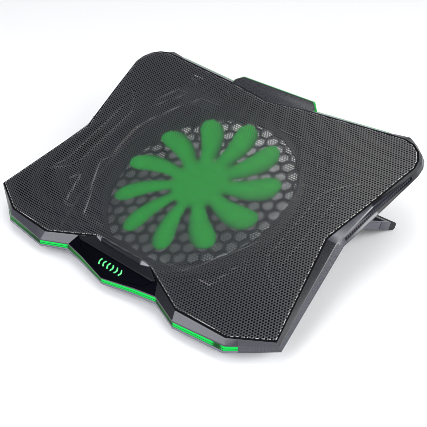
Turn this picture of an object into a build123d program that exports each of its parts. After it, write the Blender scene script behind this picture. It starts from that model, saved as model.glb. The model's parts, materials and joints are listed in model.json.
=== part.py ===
from build123d import *
import math
import os

os.makedirs("parts", exist_ok=True)

# ---------------------------------------------------------------------------
# Laptop cooling pad with one large fan, standing on its front feet and on two
# flip-out rear legs. Millimetres, +Z up, +X to the pad's right, +Y to its rear.
# The origin is on the ground, under the middle of the whole object.
# Everything but the ground is laid out on PAD, the plane of the mesh's top,
# which is raised at the rear.
# ---------------------------------------------------------------------------

# driving dimensions
tilt = 15.5                 # pad plane against the ground, degrees
pad_y = -32.849              # pad plane's own origin in the world
pad_z = 54.654

mesh_t = 0.6                # perforated steel sheet
ledge_z = -0.7              # frame ledge that carries the sheet
ridge_z = -5.6              # lower edge of the sloped facets
light_top_z = -6.6          # light guides: upper and lower face
light_bot_z = -10.0
front_bot_z = -11.2         # the front light guide is taller than the rear ones
rim_z = -12.4               # seam between frame and bottom shell
floor_z = -27.0             # underside of the bottom shell
wall = 2.2

fan_y = 31.0                # fan centre
fan_r = 93.5
fan_blades = 11
hub_r = 30.0
blade_z = -13.5             # mid height of the blades
blade_pitch = 10.0
blade_lift = 1.6            # blades sit this much above the hub's mid height

grille_r = 105.0            # honeycomb field under the fan
hex_pitch = 15.0
hex_flat = 11.8             # across flats

leg_hinge_y = 68.0
leg_hinge_z = -22.0
leg_len = 86.28              # hinge axis to the centre of the round tip
leg_r = 4.25                # half the leg's thickness
leg_angle = 48.8            # below the pad plane when opened
leg_x0 = 137.0              # inner and outer side faces
leg_x1 = 172.0
pin_r = 2.0
run_fit = 0.05              # radial clearance of pins and shaft

st, ct = math.sin(math.radians(tilt)), math.cos(math.radians(tilt))
PAD = Plane(origin=(0, pad_y, pad_z), x_dir=(1, 0, 0), z_dir=(0, -st, ct))


plate_tilt = math.atan2(4.0, 18.0)       # gloss plate against the pad plane
plate_y0, plate_z0 = -94.6, -2.4


def mirrored(half):
    """Close a half outline, listed from the front centre to the rear centre."""
    return half + [(-x, y) for x, y in reversed(half) if abs(x) > 1e-6]


def shifted(points, d):
    """Closed outline moved inwards by d, keeping its vertex count."""
    n = len(points)
    out = []
    for i in range(n):
        (ax, ay), (bx, by), (cx, cy) = points[i - 1], points[i], points[(i + 1) % n]
        l1, l2 = math.hypot(bx - ax, by - ay), math.hypot(cx - bx, cy - by)
        n1 = (-(by - ay) / l1, (bx - ax) / l1)
        n2 = (-(cy - by) / l2, (cx - bx) / l2)
        k = 1 + n1[0] * n2[0] + n1[1] * n2[1]
        out.append((bx + d * (n1[0] + n2[0]) / k, by + d * (n1[1] + n2[1]) / k))
    return out


def pad_pt(x, y, z):
    """World point of a point on the pad."""
    p = PAD.from_local_coords((x, y, z))
    return (p.X, p.Y, p.Z)


pst, pct = math.sin(plate_tilt + math.radians(tilt)), math.cos(plate_tilt + math.radians(tilt))
PLATE = Plane(origin=pad_pt(0, plate_y0, plate_z0), x_dir=(1, 0, 0), z_dir=(0, -pst, pct))

# --- outlines on the pad plane, right half, front centre to rear centre -------

mesh_half = [(0, -80.5), (38, -80.5), (57.2, -88.6), (94.6, -104.2), (156, -101.8),
             (196, -82.3), (168.8, 30), (181.6, 85), (193.6, 141), (191.6, 150),
             (186, 159), (177, 165.5), (166, 168), (144, 166.8), (50, 158.8), (0, 151.5)]
# sloped facets: upper edge
crest_half = [(0, -82.2), (38.6, -82.2), (58.4, -91.2), (95.6, -106.4), (155.4, -104.0),
              (197.6, -83.6), (170.8, 30), (183.6, 85), (195.2, 141), (193.4, 151),
              (187.4, 160.6), (178, 167.4), (166.2, 169.9), (144, 168.7), (50, 160.7), (0, 153.4)]
# sloped facets: lower edge, the pad's visible ridge
ridge_half = [(0, -116.2), (38.6, -107.6), (64.4, -103.4), (97.6, -115.2), (156.7, -108.8),
              (199.6, -84.8), (178.6, 32), (182.8, 85), (196.2, 141), (195.6, 152),
              (190.4, 161.4), (178.2, 171.2), (166.6, 177.6), (145.8, 174.2), (57.5, 167.0), (0, 167.0)]
# widest outline, at the seam
rim_half = [(0, -118.8), (38.9, -111.3), (65.2, -107.6), (98.4, -118.9), (156.9, -113.4),
            (200.8, -85.0), (182.8, 36), (189.6, 84), (197.2, 141), (196.2, 152.5),
            (192.0, 161.6), (179.0, 172.4), (167.0, 180.2), (146.4, 175.8), (58.0, 168.6), (0, 168.6)]

mesh_pts, crest_pts = mirrored(mesh_half), mirrored(crest_half)
ridge_pts, rim_pts = mirrored(ridge_half), mirrored(rim_half)
base_pts = shifted(rim_pts, 12.0)


# ---------------------------------------------------------------------------
# Top frame: faceted plastic ring with the ledge for the sheet, the grooves for
# the light guides and the slots for the ribbed side trims.
# ---------------------------------------------------------------------------
with BuildPart() as top_frame:
    with BuildSketch(PAD.offset(ledge_z)):
        with BuildLine():
            Polyline(*crest_pts, close=True)
        make_face()
    with BuildSketch(PAD.offset(ridge_z)):
        with BuildLine():
            Polyline(*ridge_pts, close=True)
        make_face()
    loft(ruled=True)
    with BuildSketch(PAD.offset(ridge_z)):
        with BuildLine():
            Polyline(*ridge_pts, close=True)
        make_face()
    with BuildSketch(PAD.offset(rim_z)):
        with BuildLine():
            Polyline(*rim_pts, close=True)
        make_face()
    loft(ruled=True)
    # open middle
    with BuildSketch(PAD.offset(1)):
        with BuildLine():
            Polyline(*shifted(mesh_pts, 6.0), close=True)
        make_face()
    extrude(amount=-20, mode=Mode.SUBTRACT)
    # hollow underside
    with BuildSketch(PAD.offset(rim_z)):
        with BuildLine():
            Polyline(*shifted(ridge_pts, 8.6), close=True)
        make_face()
        with BuildLine():
            Polyline(*shifted(mesh_pts, 3.4), close=True)
        make_face(mode=Mode.SUBTRACT)
    extrude(amount=4.4, mode=Mode.SUBTRACT)
    # shadow gap around the sheet
    with BuildSketch(PAD.offset(ledge_z)):
        with BuildLine():
            Polyline(*crest_pts, close=True)
        make_face()
        with BuildLine():
            Polyline(*shifted(mesh_pts, 0.5), close=True)
        make_face(mode=Mode.SUBTRACT)
    extrude(amount=-1.6, mode=Mode.SUBTRACT)
    # front light groove
    with BuildSketch(PAD.offset(light_top_z)):
        with Locations((0, -105)):
            Rectangle(336, 60)
        with BuildLine():
            Polyline(*shifted(rim_pts, 4.6), close=True)
        make_face(mode=Mode.SUBTRACT)
    extrude(amount=front_bot_z - light_top_z, mode=Mode.SUBTRACT)
    # rear light groove
    with BuildSketch(PAD.offset(light_top_z)):
        with Locations((101, 176), (-101, 176)):
            Rectangle(88, 30)
        with BuildLine():
            Polyline(*shifted(rim_pts, 5.0), close=True)
        make_face(mode=Mode.SUBTRACT)
    extrude(amount=light_bot_z - light_top_z, mode=Mode.SUBTRACT)
    # side slots
    with BuildSketch(PAD.offset(light_top_z)):
        with Locations((190, 88), (-190, 88)):
            Rectangle(30, 92)
        with BuildLine():
            Polyline(*shifted(rim_pts, 4.6), close=True)
        make_face(mode=Mode.SUBTRACT)
    extrude(amount=light_bot_z - light_top_z, mode=Mode.SUBTRACT)
    # seat of the front bezel, the plate behind the pad's front point
    with BuildSketch(PAD.offset(1)):
        with BuildLine():
            Polyline((-38.6, -80), (38.6, -80), (56.6, -92.0), (52.8, -94.4),
                     (-52.8, -94.4), (-56.6, -92.0), close=True)
        make_face()
    extrude(amount=-4.2, mode=Mode.SUBTRACT)
    # sloped seat of the gloss plate
    with BuildSketch(PLATE.offset(-1.1)):
        with BuildLine():
            Polyline((-52.2, 0.8), (52.2, 0.8), (46.4, -7.6), (0, -18.9), (-46.4, -7.6), close=True)
        make_face()
    extrude(amount=8, mode=Mode.SUBTRACT)
    # seat of the rear cover
    with BuildSketch(PAD.offset(1)):
        with BuildLine():
            Polyline((-56.6, 160.9), (0, 153.2), (56.6, 160.9), (56.6, 175), (-56.6, 175), close=True)
        make_face()
    extrude(amount=-4.4, mode=Mode.SUBTRACT)
top_frame.part.label = "top_frame"
export_step(top_frame.part, "parts/top_frame.step")

# ---------------------------------------------------------------------------
# Bottom shell: undercut tray with the honeycomb air intake, two leg pockets,
# the port recess and screw bosses.
# ---------------------------------------------------------------------------
with BuildPart() as shell_body:
    with BuildSketch(PAD.offset(rim_z)):
        with BuildLine():
            Polyline(*rim_pts, close=True)
        make_face()
    with BuildSketch(PAD.offset(floor_z)):
        with BuildLine():
            Polyline(*base_pts, close=True)
        make_face()
    loft(ruled=True)

hex_r = hex_flat / 2 / math.cos(math.pi / 6)
col = hex_pitch * math.cos(math.pi / 6)
hexes = []
for i in range(-9, 10):
    for j in range(-9, 10):
        hx = i * col
        hy = (33.5 if i % 2 == 0 else 26.0) + j * hex_pitch
        r = math.hypot(hx, hy - fan_y)
        if 33 < r < grille_r - 7:
            hexes.append((hx, hy))

boss_xy = [(88, -92), (-88, -92), (182, -70), (-182, -70), (166, 20), (-166, 20),
           (60, 149), (-60, 149), (0, -96), (0, 146)]
with BuildPart() as bottom_shell:
    add(shell_body.part)
    with BuildSketch(PAD.offset(floor_z + 2.0)):
        with BuildLine():
            Polyline(*shifted(base_pts, wall), close=True)
        make_face()
    with BuildSketch(PAD.offset(rim_z)):
        with BuildLine():
            Polyline(*shifted(rim_pts, wall), close=True)
        make_face()
    loft(ruled=True, mode=Mode.SUBTRACT)
    # honeycomb intake, with a plain disc left under the motor
    with BuildSketch(PAD.offset(floor_z - 1)):
        with Locations(*hexes):
            RegularPolygon(radius=hex_r, side_count=6)
    extrude(amount=5, mode=Mode.SUBTRACT)
    # partial cells along the edge of the field
    edge_cells = []
    for i in range(-9, 10):
        for j in range(-9, 10):
            hx = i * col
            hy = (33.5 if i % 2 == 0 else 26.0) + j * hex_pitch
            r = math.hypot(hx, hy - fan_y)
            if grille_r - 7 <= r < grille_r + 3:
                edge_cells.append((hx, hy))
    with BuildSketch(PAD.offset(floor_z - 1)) as edge_sk:
        with Locations(*edge_cells):
            RegularPolygon(radius=hex_r, side_count=6)
        with Locations((0, fan_y)):
            Circle(grille_r, mode=Mode.INTERSECT)
    extrude(amount=5, mode=Mode.SUBTRACT)
    # screw bosses
    with BuildSketch(PAD.offset(floor_z + 2.0)):
        with Locations(*boss_xy):
            Circle(3.6)
    extrude(amount=-floor_z - 2.0 + rim_z)
    # leg pockets: box walls inside the shell
    for s in (1, -1):
        with BuildSketch(PAD.offset(floor_z)):
            with Locations((s * (leg_x0 + leg_x1) / 2, 109.7)):
                Rectangle(leg_x1 - leg_x0 + 6.4, 102.0)
            with BuildLine():
                Polyline(*base_pts, close=True)
            make_face(mode=Mode.INTERSECT)
        extrude(amount=12.0)
    for s in (1, -1):
        with BuildSketch(PAD.offset(floor_z - 1)):
            with Locations((s * (leg_x0 + leg_x1) / 2, 110.0)):
                Rectangle(leg_x1 - leg_x0 + 2.8, 98.2)
        extrude(amount=11.4, mode=Mode.SUBTRACT)
    # pin holes through the pocket walls
    with BuildSketch(Plane(origin=pad_pt(-(leg_x1 + 3.2), leg_hinge_y, leg_hinge_z),
                           x_dir=(0, ct, st), z_dir=(1, 0, 0))):
        Circle(pin_r)
    extrude(amount=leg_x1 - leg_x0 + 6.4, mode=Mode.SUBTRACT)
    with BuildSketch(Plane(origin=pad_pt(leg_x0 - 3.2, leg_hinge_y, leg_hinge_z),
                           x_dir=(0, ct, st), z_dir=(1, 0, 0))):
        Circle(pin_r)
    extrude(amount=leg_x1 - leg_x0 + 6.4, mode=Mode.SUBTRACT)
    # port recess in the rear wall
    with BuildSketch(PAD.offset(rim_z + 0.1)):
        with Locations((-98, 170.5)):
            Rectangle(62, 24.6)
    extrude(amount=-12.4, mode=Mode.SUBTRACT)
    # blind screw holes from below
    with BuildSketch(PAD.offset(floor_z)):
        with Locations(*boss_xy):
            Circle(2.9)
    extrude(amount=2.6, mode=Mode.SUBTRACT)
    with BuildSketch(PAD.offset(floor_z)):
        with Locations(*boss_xy):
            Circle(1.3)
    extrude(amount=11.0, mode=Mode.SUBTRACT)
bottom_shell.part.label = "bottom_shell"
export_step(bottom_shell.part, "parts/bottom_shell.step")

# ---------------------------------------------------------------------------
# Perforated steel sheet that the laptop rests on
# ---------------------------------------------------------------------------
with BuildPart() as mesh_panel:
    with BuildSketch(PAD.offset(ledge_z)):
        with BuildLine():
            Polyline(*mesh_pts, close=True)
        make_face()
    extrude(amount=mesh_t)
mesh_panel.part.label = "mesh_panel"
export_step(mesh_panel.part, "parts/mesh_panel.step")

# ---------------------------------------------------------------------------
# Front: bezel with the laptop stop lip, gloss plate, glowing mark, light guide
# ---------------------------------------------------------------------------
with BuildPart() as front_bezel:
    with BuildSketch(PAD.offset(-3.2)):
        with BuildLine():
            Polyline((-38.2, -81.4), (38.2, -81.4), (55.8, -92.0), (52.4, -94.0), (-52.4, -94.0),
                     (-55.8, -92.0), close=True)
        make_face()
    extrude(amount=3.0)
front_bezel.part.label = "front_bezel"
export_step(front_bezel.part, "parts/front_bezel.step")

with BuildPart() as stop_lip:
    # low ridge that keeps the laptop from sliding off the front
    with BuildSketch(Plane(origin=pad_pt(-29.0, 0, 0), x_dir=(0, ct, st), z_dir=(1, 0, 0))):
        with BuildLine():
            Polyline((-85.6, -0.2), (-81.4, -0.2), (-81.9, 2.5), (-83.4, 2.9), close=True)
        make_face()
    extrude(amount=58.0)
stop_lip.part.label = "stop_lip"
export_step(stop_lip.part, "parts/stop_lip.step")

with BuildPart() as lip_ends:
    # wedge-shaped end blocks of the lip
    for s in (1, -1):
        with BuildSketch(Plane(origin=pad_pt(s * 29.0, 0, 0), x_dir=(0, ct, st), z_dir=(s, 0, 0)) if s > 0 else
                         Plane(origin=pad_pt(-29.0, 0, 0), x_dir=(0, -ct, -st), z_dir=(-1, 0, 0))):
            with BuildLine():
                Polyline((-85.4 * s, -0.2), (-81.4 * s, -0.2), (-81.9 * s, 2.4), (-83.2 * s, 2.7), close=True)
            make_face()
        with BuildSketch(Plane(origin=pad_pt(s * 38.0, 0, 0), x_dir=(0, ct, st), z_dir=(s, 0, 0)) if s > 0 else
                         Plane(origin=pad_pt(-38.0, 0, 0), x_dir=(0, -ct, -st), z_dir=(-1, 0, 0))):
            with BuildLine():
                Polyline((-83.0 * s, -0.2), (-81.5 * s, -0.2), (-81.6 * s, 0.3), (-82.4 * s, 0.5), close=True)
            make_face()
        loft(ruled=True)
lip_ends.part.label = "lip_ends"
export_step(lip_ends.part, "parts/lip_ends.step")

# gloss plate slopes down towards the front point
with BuildPart() as logo_plate:
    with BuildSketch(PLATE):
        with BuildLine():
            Polyline((-51.6, 0), (51.6, 0), (46.0, -7.4), (0, -18.5), (-46.0, -7.4), close=True)
        make_face()
    extrude(amount=-1.0)
logo_plate.part.label = "logo_plate"
export_step(logo_plate.part, "parts/logo_plate.step")

with BuildPart() as glow_mark:
    # plain chevrons, lit from behind
    with BuildSketch(PLATE):
        for cx in (-15.0, -9.0, -3.0, 3.0, 9.0, 15.0):
            s = 1 if cx > 0 else -1
            with BuildLine():
                Polyline((cx - 1.6 * s, -4.4), (cx - 0.1 * s, -4.4), (cx + 1.7 * s, -7.6),
                         (cx - 0.1 * s, -10.8), (cx - 1.6 * s, -10.8), (cx + 0.2 * s, -7.6), close=True)
            make_face()
    extrude(amount=0.25)
glow_mark.part.label = "glow_mark"
export_step(glow_mark.part, "parts/glow_mark.step")

with BuildPart() as front_light:
    # its outer face lies flush with the frame's flank
    with BuildSketch(PAD.offset(ridge_z)):
        with BuildLine():
            Polyline(*ridge_pts, close=True)
        make_face()
    with BuildSketch(PAD.offset(rim_z)):
        with BuildLine():
            Polyline(*rim_pts, close=True)
        make_face()
    loft(ruled=True)
    with BuildSketch(PAD.offset(light_top_z)):
        with Locations((0, -105)):
            Rectangle(335.6, 60)
        with BuildLine():
            Polyline(*shifted(rim_pts, 4.6), close=True)
        make_face(mode=Mode.SUBTRACT)
    extrude(amount=front_bot_z - light_top_z, mode=Mode.INTERSECT)
front_light.part.label = "front_light"
export_step(front_light.part, "parts/front_light.step")

# ---------------------------------------------------------------------------
# Rear: cover plate over the controls, its light bar, two edge light guides
# ---------------------------------------------------------------------------
with BuildPart() as rear_cover:
    with BuildSketch(PAD.offset(-3.3)):
        with BuildLine():
            Polyline((-56.2, 161.4), (0, 153.8), (56.2, 161.4), (56.2, 167.6), (48.8, 174.6),
                     (-48.8, 174.6), (-56.2, 167.6), close=True)
        make_face()
    extrude(amount=2.6)
    chamfer(rear_cover.faces().sort_by(Axis(PAD.origin, PAD.z_dir))[-1].edges(), 0.6)
rear_cover.part.label = "rear_cover"
export_step(rear_cover.part, "parts/rear_cover.step")

with BuildPart() as rear_bar_light:
    with BuildSketch(PAD.offset(-3.3)):
        with BuildLine():
            Polyline((-55.6, 168.8), (55.6, 168.8), (49.4, 176.0), (-49.4, 176.0), close=True)
        make_face()
    extrude(amount=-6.6)
rear_bar_light.part.label = "rear_bar_light"
export_step(rear_bar_light.part, "parts/rear_bar_light.step")

for side, s in (("right", 1), ("left", -1)):
    with BuildPart() as rear_light:
        with BuildSketch(PAD.offset(light_top_z)):
            with BuildLine():
                Polyline(*shifted(rim_pts, 1.0), close=True)
            make_face()
            with BuildLine():
                Polyline(*shifted(rim_pts, 5.0), close=True)
            make_face(mode=Mode.SUBTRACT)
            with Locations((s * 101.0, 176)):
                Rectangle(87.6, 30, mode=Mode.INTERSECT)
        extrude(amount=light_bot_z - light_top_z)
    rear_light.part.label = f"rear_light_{side}"
    export_step(rear_light.part, f"parts/rear_light_{side}.step")

# ---------------------------------------------------------------------------
# Ribbed trims in the side slots
# ---------------------------------------------------------------------------
for side, s in (("right", 1), ("left", -1)):
    with BuildPart() as side_trim:
        with BuildSketch(PAD.offset(light_top_z)):
            with BuildLine():
                Polyline(*shifted(rim_pts, 3.4), close=True)
            make_face()
            with BuildLine():
                Polyline(*shifted(rim_pts, 4.6), close=True)
            make_face(mode=Mode.SUBTRACT)
            with Locations((s * 190, 88)):
                Rectangle(30, 91.4, mode=Mode.INTERSECT)
        extrude(amount=light_bot_z - light_top_z)
        with BuildSketch(PAD.offset(light_top_z)) as rib_sk:
            with BuildLine():
                Polyline(*shifted(rim_pts, 2.0), close=True)
            make_face()
            with BuildLine():
                Polyline(*shifted(rim_pts, 3.6), close=True)
            make_face(mode=Mode.SUBTRACT)
            with Locations((s * 190, 88)):
                with GridLocations(0, 2.8, 1, 32):
                    Rectangle(30, 1.2, mode=Mode.INTERSECT)
        extrude(amount=light_bot_z - light_top_z)
    side_trim.part.label = f"side_trim_{side}"
    export_step(side_trim.part, f"parts/side_trim_{side}.step")

# ---------------------------------------------------------------------------
# Fan: shroud ring, motor base, stator, bearing, shaft, magnet ring, rotor
# ---------------------------------------------------------------------------
FAN = Plane(origin=pad_pt(0, fan_y, 0), x_dir=(1, 0, 0), z_dir=(0, -st, ct))

with BuildPart() as fan_shroud:
    with BuildSketch(FAN.offset(floor_z + 2.0)):
        Circle(grille_r + 2.8)
        Circle(grille_r + 1.0, mode=Mode.SUBTRACT)
    extrude(amount=12.2)
    with BuildSketch(FAN.offset(floor_z + 2.0)):
        Circle(grille_r + 5.6)
        Circle(grille_r + 1.0, mode=Mode.SUBTRACT)
    extrude(amount=1.6)
    # gate for the fan's lead
    with BuildSketch(PAD.offset(floor_z + 2.0)):
        with Locations((-69.7, 112.2)):
            Circle(5.0)
    extrude(amount=3.0, mode=Mode.SUBTRACT)
fan_shroud.part.label = "fan_shroud"
export_step(fan_shroud.part, "parts/fan_shroud.step")

with BuildPart() as motor_base:
    with BuildSketch(FAN.offset(floor_z + 2.0)):
        Circle(26.0)
        with PolarLocations(20.0, 3, start_angle=90):
            Circle(1.6, mode=Mode.SUBTRACT)
    extrude(amount=1.8)
    with BuildSketch(FAN.offset(floor_z + 3.8)):
        Circle(5.6)
        Circle(3.2, mode=Mode.SUBTRACT)
    extrude(amount=9.0)
motor_base.part.label = "motor_base"
export_step(motor_base.part, "parts/motor_base.step")

with BuildPart() as led_board:
    # ring board with the fan's lamps
    with BuildSketch(FAN.offset(floor_z + 3.8)):
        Circle(25.0)
        Circle(15.0, mode=Mode.SUBTRACT)
    extrude(amount=1.2)
    with BuildSketch(FAN.offset(floor_z + 5.0)):
        with PolarLocations(22.0, 8):
            Rectangle(3.0, 3.0)
    extrude(amount=1.0)
led_board.part.label = "led_board"
export_step(led_board.part, "parts/led_board.step")

with BuildPart() as stator:
    with BuildSketch(FAN.offset(floor_z + 6.4)):
        Circle(9.0)
        Circle(5.6, mode=Mode.SUBTRACT)
        with PolarLocations(11.0, 6):
            Rectangle(8.0, 3.4)
        with PolarLocations(15.0, 6):
            Rectangle(2.2, 9.0)
    extrude(amount=5.2)
stator.part.label = "stator"
export_step(stator.part, "parts/stator.step")

with BuildPart() as bearing:
    with BuildSketch(FAN.offset(floor_z + 3.8)):
        Circle(3.2)
        Circle(1.5 + run_fit, mode=Mode.SUBTRACT)
    extrude(amount=9.0)
bearing.part.label = "bearing"
export_step(bearing.part, "parts/bearing.step")

with BuildPart() as fan_shaft:
    with BuildSketch(FAN.offset(floor_z + 4.2)):
        Circle(1.5)
    extrude(amount=13.4)
fan_shaft.part.label = "fan_shaft"
export_step(fan_shaft.part, "parts/fan_shaft.step")

with BuildPart() as magnet_ring:
    with BuildSketch(FAN.offset(floor_z + 6.6)):
        Circle(19.6)
        Circle(17.4, mode=Mode.SUBTRACT)
    extrude(amount=7.4)
magnet_ring.part.label = "magnet_ring"
export_step(magnet_ring.part, "parts/magnet_ring.step")

BLADE = Plane(origin=(0, 0, 0), x_dir=(1, 0, 0),
              z_dir=(0, -math.sin(math.radians(blade_pitch)), math.cos(math.radians(blade_pitch))))
with BuildPart() as blade:
    with BuildSketch(BLADE):
        with BuildLine():
            # swept forwards: the middle of the blade lags behind its root and tip
            Spline((24.0, -7.0), (36.0, -10.4), (50.0, -13.6), (64.0, -14.4), (77.0, -12.4), (87.4, -6.2), (92.0, 3.2),
                   (89.8, 11.8), (82.0, 15.2), (73.0, 14.0), (62.0, 10.4), (49.0, 7.2), (36.0, 6.0), (24.0, 6.2))
            Line((24.0, 6.2), (24.0, -7.0))
        make_face()
    extrude(amount=0.8, both=True)

with BuildPart() as fan_rotor:
    with BuildSketch(FAN.offset(blade_z - 5.6)):
        Circle(hub_r)
    extrude(amount=10.2)
    with BuildSketch(FAN.offset(blade_z - 5.6)):
        Circle(hub_r - 2.4)
        Circle(22.0, mode=Mode.SUBTRACT)
    extrude(amount=8.0, mode=Mode.SUBTRACT)
    with BuildSketch(FAN.offset(blade_z - 5.6)):
        Circle(19.6)
    extrude(amount=7.4, mode=Mode.SUBTRACT)
    with BuildSketch(FAN.offset(blade_z + 1.8)):
        Circle(4.2)
    extrude(amount=1.4)
    with Locations(FAN.offset(blade_z + blade_lift)):
        with PolarLocations(0, fan_blades, start_angle=-13.0):
            add(blade.part)
    # shaft seat
    with BuildSketch(FAN.offset(blade_z - 6)):
        Circle(1.5)
    extrude(amount=10.1, mode=Mode.SUBTRACT)
    # clear the magnet seat of blade roots
    with BuildSketch(FAN.offset(blade_z - 5.6)):
        Circle(19.6)
        Circle(4.2, mode=Mode.SUBTRACT)
    extrude(amount=7.4, mode=Mode.SUBTRACT)
fan_rotor.part.label = "fan_rotor"
export_step(fan_rotor.part, "parts/fan_rotor.step")

# ---------------------------------------------------------------------------
# Legs, their pins and rubber tips. The side profile lies in the pad's YZ
# plane and runs along x from the hinge axis to the tip.
# ---------------------------------------------------------------------------
la = math.radians(leg_angle - tilt)      # below the horizontal
leg_dir = (0, math.cos(la), -math.sin(la))
for side, s in (("right", 1), ("left", -1)):
    x_in = leg_x0 if s > 0 else -leg_x1
    LEG = Plane(origin=pad_pt(x_in, leg_hinge_y, leg_hinge_z), x_dir=leg_dir, z_dir=(1, 0, 0))
    width = leg_x1 - leg_x0
    with BuildPart() as leg:
        with BuildSketch(LEG):
            Circle(leg_r)
            with Locations((38.6, 0)):
                Rectangle(77.2, 2 * leg_r)
        extrude(amount=width)
        # open channel in the face that folds inwards
        with BuildSketch(LEG.offset(3.6)):
            with Locations((41.0, leg_r)):
                Rectangle(56.0, 11.0)
        extrude(amount=width - 7.2, mode=Mode.SUBTRACT)
        # stiffening web in the channel
        with BuildSketch(LEG.offset(width / 2 - 0.8)):
            with Locations((41.0, 0)):
                Rectangle(57.0, 2 * leg_r - 1.6)
        extrude(amount=1.6)
        # parting groove across both side faces
        for off in (-0.1, width - 0.9):
            with BuildSketch(LEG.offset(off)):
                with Locations((55.0, 0)):
                    Rectangle(1.2, 2 * leg_r + 1)
            extrude(amount=1.0, mode=Mode.SUBTRACT)
        # tenon for the rubber tip
        with BuildSketch(LEG.offset(3.0)):
            with Locations((80.6, 0)):
                Rectangle(7.0, 4.0)
        extrude(amount=width - 6.0)
        with BuildSketch(LEG.offset(-1)):
            Circle(pin_r + run_fit)
        extrude(amount=width + 2, mode=Mode.SUBTRACT)
    leg.part.label = f"leg_{side}"
    export_step(leg.part, f"parts/leg_{side}.step")

    with BuildPart() as leg_tip:
        with BuildSketch(LEG):
            with Locations((leg_len, 0)):
                Circle(leg_r)
            with Locations(((77.2 + leg_len) / 2, 0)):
                Rectangle(leg_len - 77.2, 2 * leg_r)
        extrude(amount=width)
        with BuildSketch(LEG.offset(3.0)):
            with Locations((80.6, 0)):
                Rectangle(7.0, 4.0)
        extrude(amount=width - 6.0, mode=Mode.SUBTRACT)
    leg_tip.part.label = f"leg_tip_{side}"
    export_step(leg_tip.part, f"parts/leg_tip_{side}.step")

    with BuildPart() as leg_pin:
        with BuildSketch(LEG.offset(-3.0)):
            Circle(pin_r)
        extrude(amount=width + 6.0)
    leg_pin.part.label = f"leg_pin_{side}"
    export_step(leg_pin.part, f"parts/leg_pin_{side}.step")

# ---------------------------------------------------------------------------
# Rubber feet: two under the front, two small pads under the rear for flat use
# ---------------------------------------------------------------------------
with BuildPart() as front_feet:
    with BuildSketch(PAD.offset(floor_z)):
        with Locations((118, -94), (-118, -94)):
            SlotOverall(34, 9)
    extrude(amount=-2.4)
front_feet.part.label = "front_feet"
export_step(front_feet.part, "parts/front_feet.step")

with BuildPart() as rear_feet:
    with BuildSketch(PAD.offset(floor_z)):
        with Locations((100, 150), (-100, 150)):
            SlotOverall(24, 8)
    extrude(amount=-2.4)
rear_feet.part.label = "rear_feet"
export_step(rear_feet.part, "parts/rear_feet.step")

# ---------------------------------------------------------------------------
# Controls: port panel with two USB sockets and a light button, and the board
# ---------------------------------------------------------------------------
PORT = Plane(origin=pad_pt(-98, 160.0, -18.5), x_dir=(-1, 0, 0), z_dir=(0, ct, st))
with BuildPart() as port_panel:
    with BuildSketch(PORT):
        Rectangle(60.0, 11.6)
        with Locations((-19, 0), (0, 0)):
            Rectangle(13.4, 5.9, mode=Mode.SUBTRACT)
        with Locations((20, 0)):
            Circle(3.3, mode=Mode.SUBTRACT)
    extrude(amount=-1.6)
port_panel.part.label = "port_panel"
export_step(port_panel.part, "parts/port_panel.step")

for name, px in (("usb_socket_1", -19), ("usb_socket_2", 0)):
    with BuildPart() as usb:
        with BuildSketch(PORT.offset(0.3)):
            with Locations((px, 0)):
                Rectangle(13.2, 5.7)
                Rectangle(12.5, 5.0, mode=Mode.SUBTRACT)
        extrude(amount=-14.0)
        with BuildSketch(PORT.offset(-13.7)):
            with Locations((px, 0)):
                Rectangle(13.2, 5.7)
        extrude(amount=0.8)
        with BuildSketch(PORT.offset(-13.2)):
            with Locations((px, 1.1)):
                Rectangle(11.0, 1.9)
        extrude(amount=12.0)
    usb.part.label = name
    export_step(usb.part, f"parts/{name}.step")

with BuildPart() as light_button:
    with BuildSketch(PORT.offset(-4.0)):
        with Locations((20, 0)):
            Circle(3.0)
    extrude(amount=5.6)
    with BuildSketch(PORT.offset(-4.0)):
        with Locations((20, 0)):
            Circle(4.4)
    extrude(amount=1.0)
light_button.part.label = "light_button"
export_step(light_button.part, "parts/light_button.step")

with BuildPart() as control_board:
    with BuildSketch(PAD.offset(floor_z + 3.4)):
        with Locations((-98, 139)):
            Rectangle(58, 22)
    extrude(amount=1.6)
    with BuildSketch(PAD.offset(floor_z + 5.0)):
        with Locations((-110, 136)):
            Rectangle(7, 7)
        with Locations((-96, 134)):
            Rectangle(5, 4)
        with Locations((-84, 136)):
            Rectangle(8, 6)
    extrude(amount=1.8)
control_board.part.label = "control_board"
export_step(control_board.part, "parts/control_board.step")

with BuildPart() as tact_switch:
    with BuildSketch(PORT.offset(-9.0)):
        with Locations((20, 0)):
            Rectangle(6.0, 6.0)
    extrude(amount=3.0)
    with BuildSketch(PORT.offset(-6.0)):
        with Locations((20, 0)):
            Circle(1.6)
    extrude(amount=0.4)
tact_switch.part.label = "tact_switch"
export_step(tact_switch.part, "parts/tact_switch.step")

# leads inside the shell, held by the floor: board to motor and board to lights
lead_z = floor_z + 2.0 + 1.1
with BuildPart() as fan_lead:
    with BuildLine() as fan_path:
        FilletPolyline(pad_pt(-82, 126.8, lead_z), pad_pt(-74, 118.0, lead_z), pad_pt(-60.0, 98.0, lead_z), pad_pt(-46, 84, lead_z),
                       pad_pt(-32, 60, lead_z), pad_pt(-19.5, 52.0, lead_z), radius=6)
    with BuildSketch(Plane(origin=fan_path.line @ 0, z_dir=fan_path.line % 0)):
        Circle(1.0)
    sweep()
fan_lead.part.label = "fan_lead"
export_step(fan_lead.part, "parts/fan_lead.step")

with BuildPart() as light_lead:
    with BuildLine() as light_path:
        FilletPolyline(pad_pt(-112, 127.8, lead_z), pad_pt(-120, 104, lead_z), pad_pt(-128, 40, lead_z),
                       pad_pt(-122, -40, lead_z), pad_pt(-108, -86, lead_z), radius=14)
    with BuildSketch(Plane(origin=light_path.line @ 0, z_dir=light_path.line % 0)):
        Circle(1.0)
    sweep()
light_lead.part.label = "light_lead"
export_step(light_lead.part, "parts/light_lead.step")

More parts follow.
